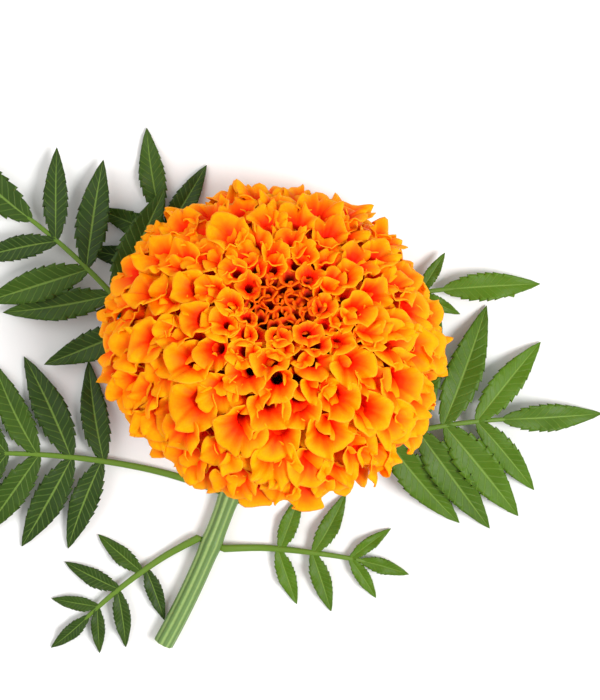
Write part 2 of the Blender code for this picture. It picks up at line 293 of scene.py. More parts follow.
class Floret:
    """One floret: a narrow tube from the pad that opens into a lip, long outwards and ruffled."""

    tube_steps, lip_steps, sides = 6, 14, 56

    def __init__(
        self, luck, foot, mouth, axis, outwards, length, breadth, inner_length, mouth_radius, ruffle
    ):
        self.luck, self.foot, self.mouth = luck, foot, mouth
        self.axis = unit(axis)
        self.outwards = unit(outwards - self.axis * outwards.dot(self.axis))
        self.length, self.breadth, self.inner_length = length, breadth, inner_length
        self.mouth_radius, self.ruffle = mouth_radius, ruffle
        self.heart = luck.uniform(0.08, 0.26) if luck.random() < 0.6 else 0.0
        self.heart_place = luck.normal(0, 0.22)

    def heart_dip(self, around):
        """Where the lip's edge is drawn in between its two lobes."""
        return np.exp(-(((around - self.heart_place) / 0.34) ** 2))

    def edge_length(self, around):
        """How far the lip reaches at each angle, with lobes and notches in its edge."""
        luck = self.luck
        outer = ((1 + np.cos(around)) / 2) ** (luck.uniform(0.75, 1.2) / self.breadth)
        reach = self.inner_length + (self.length - self.inner_length) * outer
        lobes = 0.055 * np.sin(luck.integers(4, 7) * around + luck.uniform(0, TAU))
        lobes += 0.035 * np.sin(luck.integers(9, 13) * around + luck.uniform(0, TAU))
        notch = self.heart * self.heart_dip(around)
        for _ in range(luck.integers(1, 3)):
            place, depth = luck.uniform(-1.5, 1.5), luck.uniform(0.05, 0.14)
            notch += depth * np.exp(-(((around - place) / 0.12) ** 2))
        return reach * (1 + lobes - notch + 0.4 * self.heart)

    def waves(self, around):
        """The ruffles along the edge: a few big folds and many small ones."""
        luck = self.luck
        total = -1.6 * self.heart / 0.26 * self.heart_dip(around)
        for low, high, share in ((2, 4, 0.5), (5, 8, 0.7), (8, 12, 0.5)):
            total += share * sharp_wave(luck.integers(low, high) * around + luck.uniform(0, TAU))
        return total

    def tube(self, around):
        """Rings of the tube, from its foot on the pad up to the mouth."""
        reach = np.linalg.norm(self.mouth - self.foot)
        rise = 0.3 * unit(self.mouth - self.foot) + np.array([0.0, 0.0, 1.0])
        curve = [
            self.foot,
            self.foot + unit(rise) * 0.32 * reach,
            self.mouth - self.axis * 0.4 * reach,
            self.mouth,
        ]
        rings = []
        for step in range(self.tube_steps):
            t = step / self.tube_steps
            weights = np.array([(1 - t) ** 3, 3 * t * (1 - t) ** 2, 3 * t * t * (1 - t), t**3])
            slopes = np.array([-((1 - t) ** 2), (1 - t) * (1 - 3 * t), t * (2 - 3 * t), t * t])
            ahead = unit(slopes @ np.array(curve))
            outwards = unit(self.outwards - ahead * self.outwards.dot(ahead))
            sidewards = np.cross(ahead, outwards)
            radius = (FOOT_RADIUS + (self.mouth_radius - FOOT_RADIUS) * t**1.1) * np.ones_like(around)
            centre = weights @ np.array(curve)
            rings.append(
                centre
                + (radius * np.cos(around))[:, None] * outwards
                + (radius * np.sin(around))[:, None] * sidewards
            )
        return np.array(rings)

    def lip(self, around):
        """Rings of the lip, from the mouth to its ruffled edge."""
        luck = self.luck
        share = np.linspace(0, 1, self.lip_steps + 1)[:, None]
        around = around[None, :]
        outer = ((1 + np.cos(around)) / 2) ** (1 / self.breadth)
        open_in, open_out = math.radians(luck.uniform(30, 46)), math.radians(luck.uniform(48, 74))
        open_end = open_in + (open_out - open_in) * outer
        start = math.radians(14)
        angle = start + (open_end - start) * ease(share / 0.5)
        angle = angle + math.radians(34) * (0.3 + 0.7 * outer) * ease((share - 0.62) / 0.38)
        step = self.edge_length(around) / self.lip_steps
        radius = self.mouth_radius + np.cumsum(np.sin(angle) * step, axis=0) - np.sin(angle[:1]) * step
        height = np.cumsum(np.cos(angle) * step, axis=0) - np.cos(angle[:1]) * step
        push = self.ruffle * self.waves(around) * share**1.4 * (0.15 + 0.85 * outer)
        swing = 0.17 * np.sin(luck.integers(4, 7) * around + luck.uniform(0, TAU)) * share**2
        radius, height = radius - np.cos(angle) * push, height + np.sin(angle) * push
        turn = around + swing
        grid = self.mouth + height[..., None] * self.axis
        grid = grid + (radius * np.cos(turn))[..., None] * self.outwards
        return grid + (radius * np.sin(turn))[..., None] * np.cross(self.axis, self.outwards)

    def build(self):
        """The floret's grid of points, and how far along it and on which pleat each of them is."""
        around = full_turn(self.sides) - math.pi
        grid = np.concatenate([self.tube(around), self.lip(around)])
        tube = 0.25 * np.arange(self.tube_steps) / self.tube_steps
        share = np.concatenate([tube, np.linspace(0.25, 1, self.lip_steps + 1)])
        pleat = np.sin(self.luck.integers(9, 13) * around + self.luck.uniform(0, TAU))
        pleat += 0.6 * np.sin(self.luck.integers(14, 18) * around)
        return grid, share[:, None], pleat[None, :]


def whorl_florets(whorl, settings):
    """The florets of one whorl, around the head's own axis."""
    petals = WHORLS[whorl][0]
    share = FLORETS_PER_PETAL if whorl < SEPARATE_WHORLS else 1
    luck = np.random.default_rng(130 + whorl)
    florets = []
    for number in range(petals * share):
        at = whorl + MOUTH_PLACE[whorl] + (-1) ** number * STAGGER[whorl] + luck.uniform(-0.13, 0.13)
        place = (number - (share - 1) / 2) / share + 0.5 * (whorl % 2)
        angle = TAU * place / petals + luck.normal(0, 0.02 if whorl < SEPARATE_WHORLS else 0.04)
        radial = np.array([math.cos(angle), math.sin(angle), 0.0])
        up = np.array([0.0, 0.0, 1.0])
        slope, normal = dome_slope(at)
        down = radial * slope[0] + up * slope[1]
        out = radial * normal[0] + up * normal[1]
        side = np.cross(out, down)
        surface = dome_point(at)
        length = LIP_LENGTH[whorl] * MM * settings.floret_size * (1 + luck.uniform(-0.12, 0.14))
        lean = math.radians(luck.normal(LIP_LEAN[whorl], 6))
        sink = (MOUTH_SINK[whorl] + luck.uniform(-0.6, 0.6)) * MM
        sink += (1.3 if number % 2 else -0.2) * STAGGER[whorl] * 4 * MM
        rim = 1 - (whorl + 0.5) / len(WHORLS)
        foot_height = PAD_HEIGHT + 2.6 * MM * math.sqrt(1 - 0.8 * rim)
        foot = radial * 7.6 * MM * math.sqrt(rim) + up * foot_height
        florets.append(
            Floret(
                luck,
                foot,
                radial * surface[0] + up * surface[1] - out * sink,
                out * math.cos(lean) + down * math.sin(lean) + side * luck.normal(0, 0.14),
                down + side * luck.normal(0, 0.2),
                length,
                BREADTH[whorl],
                length * INNER_SHARE[whorl],
                MOUTH_RADIUS[whorl] * MM,
                settings.ruffle * (1.0 if whorl < len(WHORLS) - SMOOTH_WHORLS else 0.6),
            )
        )
    return florets


def place_on_head(points):
    """Points around the head's own axis, moved to where the head is."""
    turn = np.array(head_turn())
    return points @ turn.T + np.array(head_centre())


def floret_shape(florets, luck, ripeness, thickness):
    """The shape of some florets, pressed flat where they would go through the ground."""
    shape = Shape()
    for floret in florets:
        height = place_on_head(floret.mouth)[2]
        floret.length *= float(np.clip(height / LOW_MOUTH, 0.6, 1))
        grid, lip, pleat = floret.build()
        points = place_on_head(grid)
        ground = GROUND_CLEARANCE + 0.25 * MM * lip
        above = points[..., 2] - ground
        pressed = GROUND_PRESS * np.exp(np.minimum(above / GROUND_PRESS, 1) - 1)
        points[..., 2] = ground + np.where(above > GROUND_PRESS, above, pressed)
        tone = ripeness + luck.uniform(-0.4, 0.4)
        points = thicken(points, thickness)
        both = np.concatenate([lip, lip[::-1]])
        back = np.repeat([0.0, 1.0], len(lip))[:, None]
        values = {"lip": both, "back": back, "tone": tone, "pleat": pleat}
        shape.add_grid(points, ring=True, close_start=True, close_end=True, flip=True, **values)
    return shape


# ---- shading ----


class Value:
    """A shader socket that can be added, multiplied and so on like a number."""

    def __init__(self, paint, socket):
        self.paint, self.socket = paint, socket

    def combine(self, operation, first, second):
        return self.paint.node("ShaderNodeMath", {"operation": operation}, {0: first, 1: second})

    def __add__(self, other):
        return self.combine("ADD", self, other)

    def __sub__(self, other):
        return self.combine("SUBTRACT", self, other)

    def __rsub__(self, other):
        return self.combine("SUBTRACT", other, self)

    def __mul__(self, other):
        return self.combine("MULTIPLY", self, other)

    __radd__, __rmul__ = __add__, __mul__


class Paint:
    """A material and the nodes that make it."""

    def __init__(self, name, **constants):
        self.material = bpy.data.materials.new(name)
        self.material.use_nodes = True
        self.tree = self.material.node_tree
        self.shader = self.tree.nodes["Principled BSDF"]
        for socket, value in constants.items():
            self.shader.inputs[socket.replace("_", " ")].default_value = value

    def node(self, kind, settings=None, inputs=None, output=0):
        """Adds a node, sets its settings first and then its inputs, and gives one of its outputs."""
        made = self.tree.nodes.new(kind)
        for key, value in (settings or {}).items():
            if key == "stops":
                set_stops(made.color_ramp, value)
            else:
                setattr(made, key, value)
        for socket, value in (inputs or {}).items():
            self.feed(made.inputs[socket], value)
        return Value(self, made.outputs[output])

    def feed(self, socket, value):
        if isinstance(value, Value):
            self.tree.links.new(value.socket, socket)
        else:
            socket.default_value = value

    def attribute(self, name):
        settings = {"attribute_type": "GEOMETRY", "attribute_name": name}
        return self.node("ShaderNodeAttribute", settings, output="Fac")

    def ramp(self, factor, stops):
        return self.node("ShaderNodeValToRGB", {"stops": stops}, {"Fac": factor}, "Color")

    def noise(self, scale, detail=2.0, roughness=0.5):
        place = self.node("ShaderNodeTexCoord", output="Object")
        inputs = {"Vector": place, "Scale": scale, "Detail": detail, "Roughness": roughness}
        return self.node("ShaderNodeTexNoise", {}, inputs, "Fac")

    def blend(self, factor, first, second, kind="MIX"):
        settings = {"data_type": "RGBA", "blend_type": kind}
        return self.node("ShaderNodeMix", settings, {0: factor, 6: first, 7: second}, 2)

    def band(self, value, low, high):
        """0 below low, 1 above high and smooth between."""
        inputs = {"Value": value, "From Min": low, "From Max": high}
        return self.node("ShaderNodeMapRange", {"interpolation_type": "SMOOTHSTEP"}, inputs)

    def bump(self, height, strength, distance):
        inputs = {"Height": height, "Strength": strength, "Distance": distance}
        self.feed(self.shader.inputs["Normal"], self.node("ShaderNodeBump", {}, inputs))

    def finish(self, colour, roughness):
        self.feed(self.shader.inputs["Base Color"], colour)
        self.feed(self.shader.inputs["Roughness"], roughness)
        return self.material


def set_stops(ramp, stops):
    while len(ramp.elements) < len(stops):
        ramp.elements.new(0.5)
    for element, (place, colour) in zip(ramp.elements, stops):
        element.position, element.color = place, (*colour, 1.0)


def petal_material(settings):
    """Deep red in the throat, orange on the lip and amber towards its edge, with a light thin margin. The
    red and the dark down the tube and throat are partly the petal's own colour and partly painted shade;
    the riper florets get a bright red throat without that shade.
    """
    paint = Paint("petal_skin", Subsurface_Weight=0.15, Subsurface_Scale=0.002, Specular_IOR_Level=0.06)
    lip, tone, pleat = paint.attribute("lip"), paint.attribute("tone"), paint.attribute("pleat")
    grain, cloud = paint.noise(900.0, 3.0), paint.noise(130.0, 2.0)
    place = lip + (cloud - 0.5) * 0.14 + (tone - 0.35) * 0.16 + pleat * 0.02
    edge, face, throat = tuple(settings.edge), tuple(settings.face), tuple(settings.throat)
    # From the dark tube through the red throat to the amber edge; the dark and red near the throat are
    # partly the petal's own colour and partly painted shade.
    stops = [
        (0.0, (0.10, 0.0, 0.0)),
        (0.22, (0.42, 0.002, 0.0)),
        (0.36, throat),
        (0.54, (1.0, 0.038, 0.0)),
        (0.72, face),
        (0.9, edge),
        (1.0, (1.0, 0.37, 0.0)),
    ]
    colour = paint.ramp(place, stops)
    # Riper florets get a bright red tube and throat in place of the painted shade.
    ripe, deep = paint.band(tone, 0.0, 0.5), 1 - paint.band(lip, 0.12, 0.3)
    colour = paint.blend(ripe * deep, colour, (1.0, 0.016, 0.0, 1.0))
    stops = [(0.0, (1.0, 0.09, 0.0)), (0.25, (1.0, 0.075, 0.0)), (0.6, (1.0, 0.13, 0.0)), (0.95, edge)]
    colour = paint.blend(paint.attribute("back"), colour, paint.ramp(place, stops))
    margin = paint.band(lip, 0.95, 0.985)
    colour = paint.blend(margin * 0.6, colour, (1.0, 0.36, 0.015, 1.0))
    shade = paint.ramp(grain, [(0.3, (1.0, 0.84, 0.8)), (0.7, (1.0, 1.0, 1.0))])
    colour = paint.blend(1.0, colour, shade, "MULTIPLY")
    paint.bump(grain * 0.5 + pleat * 0.3, 0.35, 0.0003)
    return paint.finish(colour, 0.5 + grain * 0.2)


# ---- stem ----


def stem_route():
    """Distances, points and directions along the stem, from under the cup to the cut end."""
    axis = head_axis()
    start = head_centre() + axis * (CUP_BASE - GAP)
    slope = math.pi / 2 - HEAD_TILT
    bend_length = (start.z - STEM_RADIUS) / (1 - math.cos(slope)) * slope
    fine = 0.25 * MM
    place, travelled = start.copy(), 0.0
    heading = -math.pi / 2 - LEAN_SIDE
    route = []
    while travelled < STEM_LENGTH + fine / 2:
        dip = max(0.0, 1 - travelled / bend_length) * slope
        turned = STEM_TURN * max(0.0, travelled - bend_length) / (STEM_LENGTH - bend_length)
        plan = heading - turned
        flat = math.cos(dip)
        direction = Vector((math.cos(plan) * flat, math.sin(plan) * flat, -math.sin(dip)))
        route.append((travelled, place.copy(), direction))
        place += direction * fine
        travelled += fine
    return route


def stem_radius(travelled):
    return STEM_RADIUS + (NECK_RADIUS - STEM_RADIUS) * max(0.0, 1 - travelled / (9 * MM)) ** 2


def stem_shape():
    """The ribbed stalk, with a soft swelling where each leaf joins it, and its cut end."""
    shape = Shape()
    stations = stem_route()[::3]
    sides = 64
    around = full_turn(sides)
    rows, along = [], []
    for travelled, place, direction in stations:
        across = direction.cross(Vector((0, 0, 1))).normalized()
        up = across.cross(direction)
        radius = stem_radius(travelled)
        ribs = 0.045 * np.cos(STEM_RIBS * around + 3 * travelled / STEM_LENGTH)
        ribs = ribs + 0.015 * np.cos(22 * around)
        apart = [(travelled - leaf.station * MM) / (2.2 * MM) for leaf in LEAVES]
        swell = sum(0.05 * math.exp(-(distance**2)) for distance in apart)
        r = radius * (0.955 + ribs * (1 - math.exp(-travelled / (3 * MM))) + swell)
        ring = np.array(place) + np.outer(r * np.cos(around), across) + np.outer(r * np.sin(around), up)
        rows.append(ring)
        along.append(travelled / STEM_LENGTH)
    grid = np.array(rows)
    grid[..., 2] = np.maximum(grid[..., 2], 0.03 * MM)
    values = {"along": np.array(along)[:, None], "rib": np.cos(STEM_RIBS * around)[None, :], "cut": 0.0}
    shape.add_grid(grid, ring=True, close_start=True, flip=True, **values)
    middle, end = grid[-1].mean(axis=0), np.array(stations[-1][2])
    shares = np.array([1.0, 0.93, 0.8, 0.5, 0.28, 0.2])[:, None, None]
    rise = np.array([0.0, 0.12, 0.14, 0.1, -0.1, -0.9])[:, None, None] * MM
    disc = middle + (grid[-1] - middle)[None] * shares + end * rise
    shape.add_grid(disc, ring=True, close_end=True, flip=True, along=shares[..., 0], rib=0.0, cut=1.0)
    return shape


def green_material(name, colour, light):
    """Ribbed green skin with pale ribs and faint red-brown tinting, and a pale cut end."""
    paint = Paint(name, Subsurface_Weight=0.05, Subsurface_Scale=0.001)
    rib, cut = paint.attribute("rib"), paint.attribute("cut")
    grain, cloud = paint.noise(1400.0, 4.0), paint.noise(60.0, 2.0)
    green = paint.blend(paint.band(rib + (grain - 0.5) * 0.8, -0.2, 1.0), (*colour, 1.0), (*light, 1.0))
    green = paint.blend(paint.band(cloud, 0.5, 0.75) * 0.35, green, (0.16, 0.10, 0.03, 1.0))
    green = paint.blend(cut, green, (0.42, 0.50, 0.22, 1.0))
    paint.bump(grain, 0.3, 0.0002)
    return paint.finish(green, 0.38 + grain * 0.25)


# ---- leaves ----


class LeafStalk:
    """The middle line of a leaf: a curve in plan that arches up and comes down to where it rests."""

    def __init__(self, leaf, route):
        place = min(route, key=lambda point: abs(point[0] - leaf.station * MM))
        outwards = place[2].cross(Vector((0, 0, 1))).normalized()
        if outwards.x * leaf.side < 0:
            outwards = -outwards
        self.base = place[1] + outwards * (STEM_RADIUS + 3 * GAP)
        self.inside = place[1] + outwards * (0.5 * STEM_RADIUS)
        self.heading, self.turn = math.radians(leaf.heading), math.radians(leaf.turn)
        self.length, self.rise, self.rest = leaf.length * MM, leaf.rise * MM, leaf.rest * MM

    def direction(self, s):
        angle = self.heading + self.turn * s / self.length
        return np.array([math.cos(angle), math.sin(angle), 0.0])

    def height(self, s):
        t = s / self.length
        down = (self.base.z - self.rest) * (1 - float(ease(t / 0.25)))
        return self.rest + down + self.rise * max(0.0, math.sin(math.pi * t)) ** 1.5

    def point(self, s):
        steps = 40
        place = np.array([self.base.x, self.base.y, 0.0])
        for step in range(steps):
            place += self.direction((step + 0.5) * s / steps) * (s / steps)
        place[2] = self.height(s)
        return place


def leaflet_sizes(leaf):
    """Place along the stalk (share), length and angle of each pair, from the stem outwards."""
    sizes = []
    for pair in range(leaf.pairs):
        t = pair / (leaf.pairs - 1)
        place = leaf.bare + (LAST_PAIR - leaf.bare) * t
        length = leaf.longest * MM * (0.86 + 0.14 * math.sin(math.pi * t) - 0.12 * t)
        sizes.append((place, length, math.radians(74 - 26 * t)))
    return sizes


def blade_width(t):
    """The outline of a leaflet from its foot to its tip, as a share of its greatest half width."""
    return np.clip(np.sin(math.pi * np.clip(t, 0, 1) ** 0.82), 0, 1) ** 0.85 * (1 - 0.12 * t)


def add_leaflet(shape, luck, light, start, direction, length, rest):
    """A toothed, lance-shaped blade: folded a little along its midrib, waved, with its tip drooping."""
    rows, columns = 61, 11
    t = np.linspace(0, 1, rows)[:, None]
    side = np.linspace(-1, 1, columns)[None, :]
    bend = luck.uniform(-0.1, 0.1)
    across = np.array([-direction[1], direction[0], 0.0])
    half = LEAFLET_HALF_WIDTH * length * luck.uniform(0.92, 1.1)
    saw = (t * LEAFLET_TEETH + 0.15) % 1.0
    bite = np.where((t > 0.12) & (t < 0.97), 0.17 * (1 - saw) - 0.06, 0.0)
    edge = np.abs(side) ** 6
    width = half * blade_width(t) * (1 + bite * edge) + 0.35 * MM * (1 - ease(t / 0.15))
    forward = 0.035 * length * (saw - 0.5) * edge * (blade_width(t) > 0.3)
    x = t * length + forward
    y = side * width + bend * length * t**2
    drop = rest + (start[2] - rest) * (1 - t**1.6)
    fold = 0.22 * np.abs(side * width) * np.sin(math.pi * np.clip(t, 0, 1))
    phase = TAU * (2.2 * t + luck.uniform(0, 1)) + 1.5 * np.sign(side)
    wave = 0.45 * MM * np.sin(phase) * side**2
    vein = -0.12 * MM * np.exp(-((side * width / (0.35 * MM)) ** 2))
    z = drop + fold + wave * np.sin(math.pi * t) + vein + 0.25 * MM
    grid = start + x[..., None] * direction + y[..., None] * across
    grid[..., 2] = np.maximum(z, 0.22 * MM)
    # The tone carries the painted light of the right-hand leaves and the painted shade of the left-hand
    # ones, spread at random for each leaflet.
    tone = light + luck.uniform(-0.25, 0.25)
    shape.add_grid(grid, along=t, side=side, tone=tone, stalk=0.0)


def add_stalk(shape, stalk, length):
    """The leaf's stalk: a thin tapering rod, grooved above, that enters the stem."""
    sides, stations = 12, 48
    around = full_turn(sides)
    rows = []
    for s in np.linspace(0, length, stations):
        centre, ahead = stalk.point(s), stalk.direction(s)
        across = np.array([-ahead[1], ahead[0], 0.0])
        radius = (0.95 - 0.55 * s / stalk.length) * MM
        groove = 1 - 0.25 * np.exp(-(((around - math.pi / 2) / 0.5) ** 2))
        ring = centre + np.outer(radius * groove * np.cos(around), across)
        ring = ring + np.outer(radius * groove * np.sin(around), (0, 0, 1))
        rows.append(ring)
    first = rows[0]
    shift = np.array(stalk.inside) - first.mean(axis=0)
    rows.insert(0, first + shift)
    grid = np.array(rows)
    grid[..., 2] = np.maximum(grid[..., 2], 0.05 * MM)
    values = {"along": 0.0, "side": 0.0, "tone": 0.5, "stalk": 1.0}
    shape.add_grid(grid, ring=True, close_start=True, close_end=True, flip=True, **values)


def leaf_shapes(leaf, route):
    """The blades and the stalk of one leaf."""
    stalk = LeafStalk(leaf, route)
    luck = np.random.default_rng(700 + LEAVES.index(leaf))
    # The leaves on the right get the painted light tone, those on the left the painted shade tone.
    light = PAINTED_LIGHT_TONE if leaf.side > 0 else PAINTED_SHADE_TONE
    blades, rod = Shape(), Shape()
    add_stalk(rod, stalk, (LAST_LEAFLET + 0.2) * stalk.length)
    for place, length, angle in leaflet_sizes(leaf):
        s = place * stalk.length
        ahead = stalk.direction(s)
        for side in (1, -1):
            turn = Matrix.Rotation(side * angle + luck.normal(0, 0.05), 3, "Z")
            direction = np.array(turn @ Vector(ahead))
            start = stalk.point(s + luck.uniform(-0.8, 0.8) * MM)
            size = length * luck.uniform(1.0, 1.1)
            add_leaflet(blades, luck, light, start, direction, size, stalk.rest)
    last = LAST_LEAFLET * stalk.length
    start, direction = stalk.point(last), stalk.direction(last)
    add_leaflet(blades, luck, light, start, direction, stalk.length - last, stalk.rest)
    return blades, rod


def leaf_material(settings):
    """Green blade with a pale midrib and fine side veins. The leaflets of the left-hand leaves are painted
    darker as painted shade and those of the right-hand ones lighter as painted light, with a random spread.
    """
    paint = Paint("leaf", Subsurface_Weight=0.06, Subsurface_Scale=0.001, Specular_IOR_Level=0.2)
    along, side = paint.attribute("along"), paint.attribute("side")
    tone, stalk = paint.attribute("tone"), paint.attribute("stalk")
    grain, cloud = paint.noise(1500.0, 3.0), paint.noise(140.0, 2.0)
    away = paint.node("ShaderNodeMath", {"operation": "ABSOLUTE"}, {0: side})
    slant = (along * 13.0 - away * 1.6) + (cloud - 0.5) * 0.6
    wave = paint.node("ShaderNodeMath", {"operation": "PINGPONG"}, {0: slant, 1: 0.5})
    veins = 1 - paint.band(wave, 0.03, 0.12)
    midrib = 1 - paint.band(away, 0.03, 0.11)
    dark, light = (*settings.dark, 1.0), (*settings.light, 1.0)
    # Dark to light green by the tone: painted shade on the left-hand leaves, painted light on the
    # right-hand ones, with cloudy patches.
    colour = paint.blend(paint.band(tone * 0.8 + cloud * 0.3, 0.1, 0.95), dark, light)
    colour = paint.blend(veins * 0.22, colour, (0.20, 0.33, 0.05, 1.0))
    colour = paint.blend(midrib * 0.55, colour, (0.22, 0.35, 0.06, 1.0))
    colour = paint.blend(stalk, colour, (0.11, 0.20, 0.02, 1.0))
    paint.bump(veins * -0.6 + midrib * -1.0 + grain * 0.35, 0.5, 0.0003)
    return paint.finish(colour, 0.36 + grain * 0.22)


# ---- cup and pad ----


def cup_outline(depth):
    """Radius and height along the outside of the cup."""
    outer = [(0.28, 0.0), (0.5, 0.06), (0.72, 0.25), (0.86, 0.5), (0.95, 0.75), (1.0, 1.0)]
    radii, heights = zip(*outer)
    fine = np.linspace(0, 1, 34)
    places = np.linspace(0, 1, len(outer))
    radius = np.interp(fine, places, radii) * CUP_RADIUS
    return radius, CUP_BASE + np.interp(fine, places, heights) * depth


def smooth_line(values, passes=6):
    for _ in range(passes):
        values[1:-1] = (values[:-2] + 2 * values[1:-1] + values[2:]) / 4
    return values


def cup_shape():
    """The cup of fused bracts: ribbed, with a pointed tooth at the end of each bract."""
    shape = Shape()
    sides = 160
    around = full_turn(sides)
    radius, height = cup_outline(CUP_RIM - CUP_BASE)
    radius, height = smooth_line(radius.copy()), smooth_line(height.copy())
    t = np.linspace(0, 1, len(radius))[:, None]
    tooth = np.abs((around * CUP_TEETH / TAU) % 1.0 - 0.5) * 2
    ribs = np.cos(CUP_TEETH * around)[None, :]
    r = radius[:, None] * (1 + 0.018 * ribs * np.sin(math.pi * t) - 0.02 * (1 - tooth)[None, :] * t**3)
    h = height[:, None] + (TOOTH_HEIGHT * (1 - tooth) ** 1.4 - 0.4 * MM)[None, :] * ease((t - 0.7) / 0.3)
    grid = place_on_head(ring_points(r, around, h))
    shape.add_grid(grid, ring=True, close_start=True, along=t, rib=ribs, cut=0.0)
    return shape


def pad_shape():
    """The domed pad that the florets grow from, with a low bump for each of them."""
    shape = Shape()
    sides, rows = 72, 40
    around = full_turn(sides)
    polar = np.linspace(0.04, math.pi - 0.04, rows)[:, None]
    bumps = 1 + 0.02 * np.sin(16 * around)[None, :] * np.sin(12 * polar)
    ring = np.sin(polar) * bumps * PAD_RADIUS
    height = PAD_HALF_DEPTH * np.cos(polar) * bumps
    grid = ring_points(ring, around, height)
    grid[..., 2] += PAD_HEIGHT
    grid = place_on_head(grid)
    shape.add_grid(grid, ring=True, close_start=True, close_end=True, flip=True, rib=0.0, cut=1.0)
    return shape


# ---- centre florets ----


def trumpet_mesh(material):
    """One small tubular floret of the centre, standing on its foot, with a wavy open mouth."""
    shape = Shape()
    sides = 20
    around = full_turn(sides)
    profile = [(0.35, -8.0), (0.5, -4.0), (0.75, -1.4), (1.0, -0.4), (1.45, 0.25), (1.95, 0.4)]
    rows = []
    for index, (radius, height) in enumerate(profile):
        wave = 0.10 * index / 5 * np.sin(5 * around) + 0.06 * index / 5 * np.sin(3 * around + 1)
        r = radius * (1 + wave) * MM
        h = (height + 0.45 * (index / 5) ** 2 * np.sin(5 * around + 0.7)) * MM
        rows.append(ring_points(r, around, h))
    lip = np.array([0.0, 0.1, 0.26, 0.36, 0.6, 0.8])[:, None]
    shape.add_grid(np.array(rows), ring=True, close_start=True, lip=lip, tone=0.3, pleat=0.0)
    return shape.make("trumpet", material, 0.2 * MM)


class Tree:
    """A Geometry Nodes tree being built: named inputs, and nodes whose sockets are fed or linked."""

    def __init__(self, name, inputs):
        self.tree = bpy.data.node_groups.new(name, "GeometryNodeTree")
        self.tree.interface.new_socket("Geometry", in_out="INPUT", socket_type="NodeSocketGeometry")
        self.names = {}
        for label, (kind, value) in inputs.items():
            socket = self.tree.interface.new_socket(label, in_out="INPUT", socket_type=f"NodeSocket{kind}")
            if kind not in ("Object", "Material"):
                socket.default_value = value
            self.names[label] = (socket.identifier, value)
        self.tree.interface.new_socket("Geometry", in_out="OUTPUT", socket_type="NodeSocketGeometry")
        self.start = self.tree.nodes.new("NodeGroupInput")
        self.end = self.tree.nodes.new("NodeGroupOutput")

    def node(self, kind, settings=None, inputs=None):
        made = self.tree.nodes.new(kind)
        for key, value in (settings or {}).items():
            setattr(made, key, value)
        for socket, value in (inputs or {}).items():
            if isinstance(value, bpy.types.NodeSocket):
                self.tree.links.new(value, made.inputs[socket])
            else:
                made.inputs[socket].default_value = value
        return made

    def finish(self, geometry, material):
        whole = self.node("GeometryNodeRealizeInstances", inputs={"Geometry": geometry})
        coated = self.node("GeometryNodeSetMaterial", inputs={0: whole.outputs[0], "Material": material})
        self.tree.links.new(coated.outputs[0], self.end.inputs[0])

    def run(self, piece):
        """Runs the tree on a piece, with its inputs set by identifier, and leaves a plain mesh."""
        modifier = piece.modifiers.new(self.tree.name, "NODES")
        modifier.node_group = self.tree
        for identifier, value in self.names.values():
            modifier[identifier] = value
        settle(piece)


def spiral_tree(trumpet, material, count, spread):
    """Copies of the small floret on a golden-angle spiral over the sunken middle of the dome."""
    inputs = {
        "Floret": ("Object", trumpet),
        "Material": ("Material", material),
        "Count": ("Int", count),
        "Spread": ("Float", spread),
        "Sink": ("Float", 1.3 * MM),
        "Tilt": ("Float", 0.32),
        "Seed": ("Int", 11),
    }
    tree = Tree("centre_spiral", inputs)
    given = tree.start.outputs
    index = tree.node("GeometryNodeInputIndex").outputs[0]

    def maths(operation, first, second=0.0):
        return tree.node("ShaderNodeMath", {"operation": operation}, {0: first, 1: second}).outputs[0]

    share = maths("SQRT", maths("DIVIDE", maths("ADD", index, 0.5), given["Count"]))
    angle = maths("MULTIPLY", index, math.radians(137.508))
    radius = maths("MULTIPLY", share, given["Spread"])
    height = maths("MULTIPLY", maths("SUBTRACT", maths("MULTIPLY", share, share), 1.0), given["Sink"])
    place = tree.node(
        "ShaderNodeCombineXYZ",
        inputs={
            0: maths("MULTIPLY", radius, maths("COSINE", angle)),
            1: maths("MULTIPLY", radius, maths("SINE", angle)),
            2: height,
        },
    ).outputs[0]
    points = tree.node("GeometryNodePoints", inputs={"Count": given["Count"], "Position": place})
    lean = maths("MULTIPLY", share, 0.35)
    turned = tree.node("ShaderNodeCombineXYZ", inputs={0: 0.0, 1: lean, 2: angle}).outputs[0]
    inputs = {0: (-1, -1, -1), 1: (1, 1, 1), "Seed": given["Seed"]}
    sway = tree.node("FunctionNodeRandomValue", {"data_type": "FLOAT_VECTOR"}, inputs)
    inputs = {0: sway.outputs[0], "Scale": given["Tilt"]}
    sway = tree.node("ShaderNodeVectorMath", {"operation": "SCALE"}, inputs)
    inputs = {0: turned, 1: sway.outputs[0]}
    turned = tree.node("ShaderNodeVectorMath", {"operation": "ADD"}, inputs).outputs[0]
    floret = tree.node("GeometryNodeObjectInfo", inputs={"Object": given["Floret"]}).outputs["Geometry"]
    size = tree.node(
        "FunctionNodeRandomValue",
        {"data_type": "FLOAT"},
        {2: 0.7, 3: 1.3, "Seed": given["Seed"]},
    ).outputs[1]
    copies = tree.node(
        "GeometryNodeInstanceOnPoints",
        inputs={"Points": points.outputs[0], "Instance": floret, "Rotation": turned, "Scale": size},
    ).outputs[0]
    tree.finish(copies, given["Material"])
    return tree


# ---- settings, operators and panel ----

LENGTH = {"subtype": "DISTANCE", "unit": "LENGTH", "precision": 5}
COLOUR = {"size": 3, "subtype": "COLOR"}


